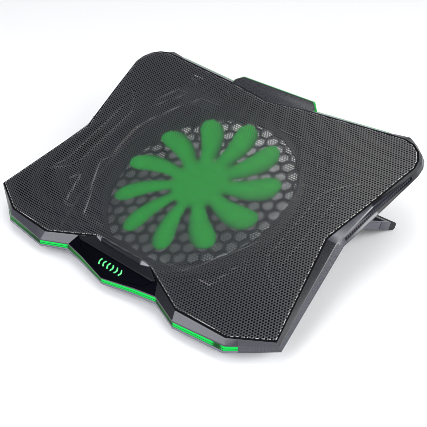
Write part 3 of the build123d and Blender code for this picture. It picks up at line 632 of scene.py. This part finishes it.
def frame_skin():
    mesh6, mesh2 = shifted(mesh_pts, 6.0), shifted(mesh_pts, 2.0)
    crest, ridge, rim = mirrored(crest_half), mirrored(ridge_half), mirrored(rim_half)
    crest_t, rim_in, rim_b = shifted(crest, -0.22), shifted(rim, 2.4), shifted(rim, 0.3)
    inner = {d: shifted(rim, d) for d in (0.0, 2.6, 4.2, 4.6)}
    n = len(rim)
    stations = []
    for i in range(n):
        j = (i + 1) % n
        L = math.hypot(rim[j][0] - rim[i][0], rim[j][1] - rim[i][1])
        wd = min(0.45 / L, 0.3)
        ts = [wd]
        st = [groove(*[rim[i][k] * (1 - t) + rim[j][k] * t for k in (0, 1)]) for t in np.linspace(wd, 1 - wd, 1501)]
        marks = [(wd, st[0])]
        for k in range(1, 1501):
            if st[k] != st[k - 1]:
                t = wd + (1 - 2 * wd) * (k - 0.5) / 1500
                marks.append((t - 0.03 / L, st[k - 1]))
                marks.append((t + 0.03 / L, st[k]))
        marks.append((1 - wd, st[-1]))
        for t, d in marks:
            stations.append((i, j, t, d))

    def ring(fn):
        return [fn(i, j, t, d) for i, j, t, d in stations]

    def lerp(o, i, j, t):
        return np.array([o[i][0] * (1 - t) + o[j][0] * t, o[i][1] * (1 - t) + o[j][1] * t])

    def flat(o, z):
        return ring(lambda i, j, t, d: (*lerp(o, i, j, t), z))

    def slope(f):
        """Point down the facet, f mm along it from the ridge (negative) or 0..1 of it."""
        def fn(i, j, t, d):
            a, b = lerp(crest_t, i, j, t), lerp(ridge, i, j, t)
            L = math.hypot(*(b - a), 4.9)
            u = 1 + f / L if f < 0 else f / L
            return (*(a * (1 - u) + b * u), -0.7 - 4.9 * u)
        return ring(fn)

    def low(z0, drop=False):
        def fn(i, j, t, d):
            z = z0 - 0.5 if drop and d == 4.6 else z0
            a, b = lerp(ridge, i, j, t), lerp(rim, i, j, t)
            u = (-5.6 - z) / 6.8
            return (*(a * (1 - u) + b * u), z)
        return ring(fn)

    def bottom(z):
        return lambda d: z - 0.5 if d == 4.6 else z

    def deep(z0, drop=False):
        def fn(i, j, t, d):
            z = bottom(z0)(d) if drop else z0
            a, b = lerp(ridge, i, j, t), lerp(rim, i, j, t)
            u = (-5.6 - z) / 6.8
            p = a * (1 - u) + b * u
            if d == 0.0:
                q = lerp(inner[2.6], i, j, t)
                k = q - p
                return (*(p + k * 0.02), z)
            return (*lerp(inner[d], i, j, t), z)
        return ring(fn)

    rings = [flat(mesh6, -8.0), flat(mesh6, -0.74), flat(mesh2, -0.74), flat(mesh2, -2.3), flat(crest, -2.3),
             flat(crest, -0.98), flat(crest_t, -0.72), slope(0.25), slope(-0.45), slope(-0.12), low(-5.72), low(-6.05),
             low(-6.38), low(-6.58), deep(-6.6), deep(-10.0, True), low(-10.02, True), low(-10.16, True), low(-12.0), low(-12.22),
             flat(rim_b, -12.42), flat(rim_in, -12.42), flat(shifted(mesh_pts, 4.4), -11.0)]
    me = grid_mesh("frame_skin", rings)
    bm = bmesh.new()
    bm.from_mesh(me)
    bmesh.ops.recalc_face_normals(bm, faces=bm.faces)
    bm.to_mesh(me)
    bm.free()
    me = cut(me, [
        prism("c1", [(-38.6, -80), (38.6, -80), (56.6, -92.0), (52.8, -94.4), (-52.8, -94.4), (-56.6, -92.0)], -3.2, 1.0),
        prism("c2", [(-52.2, 0.8), (52.2, 0.8), (46.4, -7.6), (0, -18.9), (-46.4, -7.6)], -1.1, 6.9, on_plate),
        prism("c3", [(-56.6, 160.9), (0, 153.2), (56.6, 160.9), (56.6, 175), (-56.6, 175)], -3.4, 1.0),
    ])

    def pick(c, nz, nn):
        # slot 1, near-black: painted shade on the gap floor and gap walls round the sheet, and on the faces under the
        # sheet
        if -2.5 < c[2] < -2.1 and nz > 0.8:
            return 1
        x, y = c[0], c[1]
        if abs(nz) < 0.15 and -2.35 < c[2] < -0.6 and min(1, 1):
            return 1
        if inside(np.array([x]), np.array([y]), shifted(mesh_pts, -0.2))[0]:
            return 1
        # slot 1 again: painted shade on the backs of the light groove and the side slots
        if -10.2 < c[2] < -6.5 and abs(nz) < 0.3 and not groove(x * 1.02, y * 1.02) == 0 and (
                inside(np.array([x]), np.array([y]), inner[2.6])[0]):
            return 1
        # slot 4, darker copy: painted shade on the rear side flanks
        if nz < 0.6 and c[2] < -5.6 and abs(x) > 150 and y > 95:
            return 4
        # below the facets and outside the groove: slot 2 is a painted highlight on the front lower rail, and slot 3 is
        # painted light on the lower flanks
        if nz < 0.6 and c[2] < -5.6 and not inside(np.array([x]), np.array([y]), inner[2.6])[0]:
            return 2 if c[2] < -10.4 and y < -80 and abs(x) < 168 else 3
        if -5.6 < c[2] < -0.71:
            back = nn.y * CT + nn.z * ST
            if y < -60 and abs(x) < 60 and c[2] < -0.8:
                return 5
            # slot 4 again: painted shade on front facets facing left, and on side facets facing back
            if y < -60 and nn.x < -0.08:
                return 4
            if (abs(x) > 95 and back > 0.02 and y < 50) or (abs(x) > 150 and y > 95):
                return 4
            # slot 2: painted highlight on the rear facets that face back
            if y > 110 and 57 < abs(x) < 150 and back > 0.2:
                return 2
        return 0

    # the front light guide fills its groove, flush with the flank
    front = [k for k, (i, j, t, d) in enumerate(stations) if d == 4.6]
    # stations run round the pad, so the front ones are the end of the list and its start
    gap = next(k for k in range(1, len(front)) if front[k] - front[k - 1] > 1)
    order = front[gap:] + front[:gap]
    strip = []
    for z, into in ((-6.64, 0.9), (-6.66, 0.10), (-6.85, 0.02), (-8.0, 0.0), (-8.6, 0.02), (-8.75, 0.45), (-9.15, 0.45),
                    (-9.3, 0.02), (-10.2, 0.0), (-10.42, 0.10), (-10.46, 0.9)):
        row = []
        for k in order:
            i, j, t, d = stations[k]
            a, b = lerp(ridge, i, j, t), lerp(rim, i, j, t)
            u = (-5.6 - z) / 6.8
            p, q = a * (1 - u) + b * u, lerp(inner[4.6], i, j, t)
            v = (q - p) / max(1e-6, math.hypot(*(q - p)))
            row.append((*(p + v * (0.12 + into * (2.2 if into > 0.5 else 1.0))), z))
        strip.append(row)
    m, r = len(order), len(strip)
    verts = [p for row in strip for p in row]
    faces = [(k * m + q, k * m + q + 1, (k + 1) * m + q + 1, (k + 1) * m + q) for k in range(r - 1) for q in range(m - 1)]
    faces += [((r - 1) * m + q, (r - 1) * m + q + 1, q + 1, q) for q in range(m - 1)]
    faces += [tuple(k * m for k in range(r)), tuple(k * m + m - 1 for k in reversed(range(r)))]
    ml = bpy.data.meshes.new("front_light_strip")
    ml.from_pydata(world(verts).tolist(), [], faces)
    bm = bmesh.new()
    bm.from_mesh(ml)
    bmesh.ops.recalc_face_normals(bm, faces=bm.faces)
    bm.to_mesh(ml)
    bm.free()
    place(ml, "front_light_strip", ["light"], "pad", ["front_light"], sharp=25)

    return place(me, "faceted_frame", ["frame", "inside", "rail", "flank", "frame_painted_shade", "gloss"], "pad", ["top_frame"], pick, sharp=26)


frame_skin()

# rear light guides stand a little proud of the frame, and so does the cover's bar
for side, sx in (("right", 1), ("left", -1)):
    pts = [(57.8 * sx, 165.6), (144.8 * sx, 172.7), (144.8 * sx, 174.70), (57.8 * sx, 167.60)]
    place(prism("rear_light_strip_" + side, pts if sx > 0 else pts[::-1], -9.95, -5.8),
          "rear_light_strip_" + side, ["backlight"], "pad", ["rear_light_" + side])
place(prism("rear_bar_strip", [(-55.6, 168.9), (55.6, 168.9), (56.6, 169.2), (50.3, 176.15), (-50.3, 176.15), (-56.6, 169.2)], -9.8, -2.4),
      "rear_bar_strip", ["backlight"], "pad", ["rear_bar_light"])

me = NODES["bottom_shell"].data.copy()
bm = bmesh.new()
bm.from_mesh(me)
bmesh.ops.remove_doubles(bm, verts=bm.verts, dist=2e-6)
bm.to_mesh(me)
bm.free()
# inside of the tray, faces turned up and inner walls, gets the near-black look: painted shade inside the pad
place(me, "shell_tray", ["shell", "inside"], "pad", ["bottom_shell"],
      lambda c, nz, n: 1 if (nz > 0.04 or (abs(nz) <= 0.04 and c[2] > -24.95 and inside(np.array([c[0]]), np.array([c[1]]), shifted(mirrored(rim_half), 3.0))[0])) else 0, sharp=6)
for side in ("left", "right"):
    rounded(f"leg_{side}", f"{side}_leg", "leg", 0.45, shortest=1.0)
    rounded(f"leg_tip_{side}", f"{side}_leg", "rubber", 0.9, shortest=1.0, segments=3)
rounded("stop_lip", "pad", "bezel", 0.3, shortest=1.0)
rounded("front_bezel", "pad", "bezel", 0.3, shortest=1.0)
rounded("rear_cover", "pad", "cover", 0.25, shortest=1.0)


# ---------------------------------------------------------------------------
# Fan: cambered swept blades round a domed hub
# ---------------------------------------------------------------------------
def fan_look():
    m = material("fan_glow_painted_shade_look", (0.015, 0.26, 0.04), rough=0.5, spec=0.2, grain=500, bump=0.05, var=0.05)
    nt = m.node_tree
    b = nt.nodes["Principled BSDF"]
    # emission runs from dark to bright green by a per-vertex value: painted shade on the fan's glow
    at = nt.nodes.new("ShaderNodeAttribute")
    at.attribute_name = "glow_shade"
    ramp = nt.nodes.new("ShaderNodeValToRGB")
    el = ramp.color_ramp.elements
    el[0].position, el[0].color = 0.0, (0.0, 0.035, 0.004, 1)
    el[1].position, el[1].color = 1.0, (0.0, 0.50, 0.022, 1)
    k = el.new(0.55)
    k.color = (0.0, 0.39, 0.018, 1)
    nt.links.new(at.outputs["Fac"], ramp.inputs["Fac"])
    nt.links.new(ramp.outputs["Color"], b.inputs["Emission Color"])
    b.inputs["Emission Strength"].default_value = 1.0
    return m


def fan():
    lo = [(24.0, -7.0), (36.0, -10.4), (50.0, -13.6), (64.0, -14.4), (77.0, -12.4), (87.4, -6.2), (92.0, 3.2)]
    hi = [(24.0, 6.2), (36.0, 6.0), (49.0, 7.2), (62.0, 10.4), (73.0, 14.0), (82.0, 15.2), (89.8, 11.8), (92.0, 3.2)]

    def smooth(pts, n):
        p = np.array(pts, float)
        t = np.concatenate([[0], np.cumsum(np.hypot(*np.diff(p, axis=0).T))])
        out = []
        for u in np.linspace(0, t[-1], n):
            k = min(max(np.searchsorted(t, u) - 1, 0), len(p) - 2)
            p0, p1, p2, p3 = p[max(k - 1, 0)], p[k], p[k + 1], p[min(k + 2, len(p) - 1)]
            s = (u - t[k]) / (t[k + 1] - t[k])
            out.append(0.5 * ((2 * p1) + (-p0 + p2) * s + (2 * p0 - 5 * p1 + 4 * p2 - p3) * s ** 2
                              + (-p0 + 3 * p1 - 3 * p2 + p3) * s ** 3))
        return np.array(out)

    nu, nv = 44, 13
    A, B = smooth(lo, nu), smooth(hi, nu)
    tilt = math.radians(10.0)
    verts, faces, glow_shade = [], [], []
    for b in range(11):
        a0 = math.radians(-13.0 + b * 360 / 11)
        base = len(verts)
        for layer in (1, -1):
            for i in range(nu):
                for j in range(nv):
                    t = j / (nv - 1)
                    x, y = A[i] * (1 - t) + B[i] * t
                    edge = max(0.0, 1 - (2 * t - 1) ** 6) ** 0.5
                    tip = 1.0 if i < nu - 1 else 0.0
                    z = (y * math.sin(tilt) + 1.5 * (1 - (2 * t - 1) ** 2) * min(1, i / 12) - 0.7
                         + layer * 0.75 * edge * tip)
                    yy = y * math.cos(tilt)
                    px, py = x * math.cos(a0) - yy * math.sin(a0), x * math.sin(a0) + yy * math.cos(a0)
                    verts.append((px, 31.0 + py, -13.5 + 1.6 + z))
                    # glow falls toward the blade edges, most on one side, and toward the tip, and rises at the root:
                    # painted shade on the blades
                    near = min(1.0, (1 - abs(2 * t - 1.12)) * 2.0 + 0.12, (nu - 1 - i) / 5 + 0.35)
                    root = max(0.0, 1 - i / 10)
                    glow_shade.append(max(near, root))
        n = nu * nv
        for i in range(nu - 1):
            for j in range(nv - 1):
                q = base + i * nv + j
                faces.append((q, q + nv, q + nv + 1, q + 1))
                faces.append((q + n, q + n + 1, q + n + nv + 1, q + n + nv))
        for i in range(nu - 1):
            q = base + i * nv
            faces.append((q, q + n, q + n + nv, q + nv))
            q = base + i * nv + nv - 1
            faces.append((q, q + nv, q + n + nv, q + n))
    # hub, turned
    prof = [(0, 5.0), (6, 4.96), (14, 4.8), (22, 4.55), (26, 4.3), (28.4, 3.7), (29.6, 2.6), (30, 1.2),
            (30, -5.6), (27.6, -5.6), (27.6, 1.6), (22, 1.6), (22, -5.6), (19.7, -5.6), (19.7, 1.6), (4.2, 1.8), (4.2, 3.0), (0, 3.0)]
    seg = 96
    base = len(verts)
    for r, z in prof:
        for k in range(seg):
            a = 2 * math.pi * k / seg
            verts.append((max(r, 0.001) * math.cos(a), 31.0 + max(r, 0.001) * math.sin(a), -13.5 + z))
            # hub top glows full and the lower rings glow half: painted shade on the hub's sides
            glow_shade.append(1.0 if z > 1 else 0.5)
    for i in range(len(prof) - 1):
        for k in range(seg):
            a, b2 = base + i * seg + k, base + i * seg + (k + 1) % seg
            faces.append((a, a + seg, b2 + seg, b2))
    me = bpy.data.meshes.new("fan_blades_and_hub")
    me.from_pydata(world(verts).tolist(), [], faces)
    bm = bmesh.new()
    bm.from_mesh(me)
    bmesh.ops.recalc_face_normals(bm, faces=bm.faces)
    bm.to_mesh(me)
    bm.free()
    glow_shade = [v * (1.0 if me.vertices[i].normal.z > -0.45 else 0.1) for i, v in enumerate(glow_shade)]     # little light goes down
    at = me.attributes.new("glow_shade", "FLOAT", "POINT")
    at.data.foreach_set("value", np.array(glow_shade, np.float32))
    for poly in me.polygons:
        poly.use_smooth = True
    me.set_sharp_from_angle(angle=math.radians(40))
    o = bpy.data.objects.new("fan_blades_and_hub", me)
    bpy.context.scene.collection.objects.link(o)
    paint(o, fan_look())
    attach(o, "fan")
    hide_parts("fan_rotor")
    return o


fan()

# ---------------------------------------------------------------------------
# Floor, light and camera
# ---------------------------------------------------------------------------
scene = bpy.context.scene
fm = bpy.data.meshes.new("floor")
fm.from_pydata([(-30, -30, 0), (30, -30, 0), (30, 30, 0), (-30, 30, 0)], [], [(0, 1, 2, 3)])
floor = bpy.data.objects.new("floor", fm)
scene.collection.objects.link(floor)
paint(floor, material("floor_look", (0.85, 0.85, 0.85), rough=0.9, spec=0.1, grain=60, bump=0.0, var=0.004, blotch=0.5))

w = bpy.data.worlds.new("studio")
scene.world = w
w.use_nodes = True
w.node_tree.nodes["Background"].inputs["Color"].default_value = (0.97, 0.98, 1.0, 1)
w.node_tree.nodes["Background"].inputs["Strength"].default_value = 0.435


def softbox(name, at, target, sx, sy, radiance, color=(1, 1, 1)):
    li = bpy.data.lights.new(name, "AREA")
    li.shape = "RECTANGLE"
    li.size, li.size_y = sx, sy
    li.energy = radiance * math.pi * sx * sy
    li.color = color
    o = bpy.data.objects.new(name, li)
    scene.collection.objects.link(o)
    o.location = at
    o.rotation_euler = (Vector(target) - Vector(at)).to_track_quat("-Z", "Y").to_euler()
    return o


softbox("top_box", (0.05, -0.05, 1.9), (0.0, 0.0, 0.0), 0.8, 0.8, 3.0)
softbox("rear_box", (-0.46, 0.55, 1.62), (0.0, 0.0, 0.0), 0.55, 0.8, 2.4)
softbox("right_low", (0.62, 0.34, 0.24), (0.12, 0.03, 0.0), 0.35, 0.25, 8.0)
softbox("front_box", (-0.36, -1.42, 0.98), (0, 0, 0.05), 1.7, 1.8, 3.12, (0.935, 0.95, 1.0))
softbox("right_box", (1.62, -0.12, 1.10), (0, 0, 0.05), 1.5, 1.1, 4.6, (0.965, 0.972, 1.0))

cam_data = bpy.data.cameras.new("camera")
cam_data.sensor_width = 36
cam_data.lens = 70.63
cam_data.clip_start, cam_data.clip_end = 0.01, 100
cam = bpy.data.objects.new("camera", cam_data)
scene.collection.objects.link(cam)
r, d, f = Vector((0.7363, 0.6726, -0.0743)), Vector((0.3673, -0.4895, -0.7909)), Vector((-0.5683, 0.5550, -0.6075))
rot = Matrix((r, -d, -f)).transposed().to_4x4()
rot.normalize() if hasattr(rot, "normalize") else None
cam.matrix_world = Matrix.Translation((0.52568, -0.49467, 0.56010)) @ rot
scene.camera = cam
scene.cycles.filter_width = 0.62
scene.view_settings.view_transform = "Standard"
scene.view_settings.look = "None"
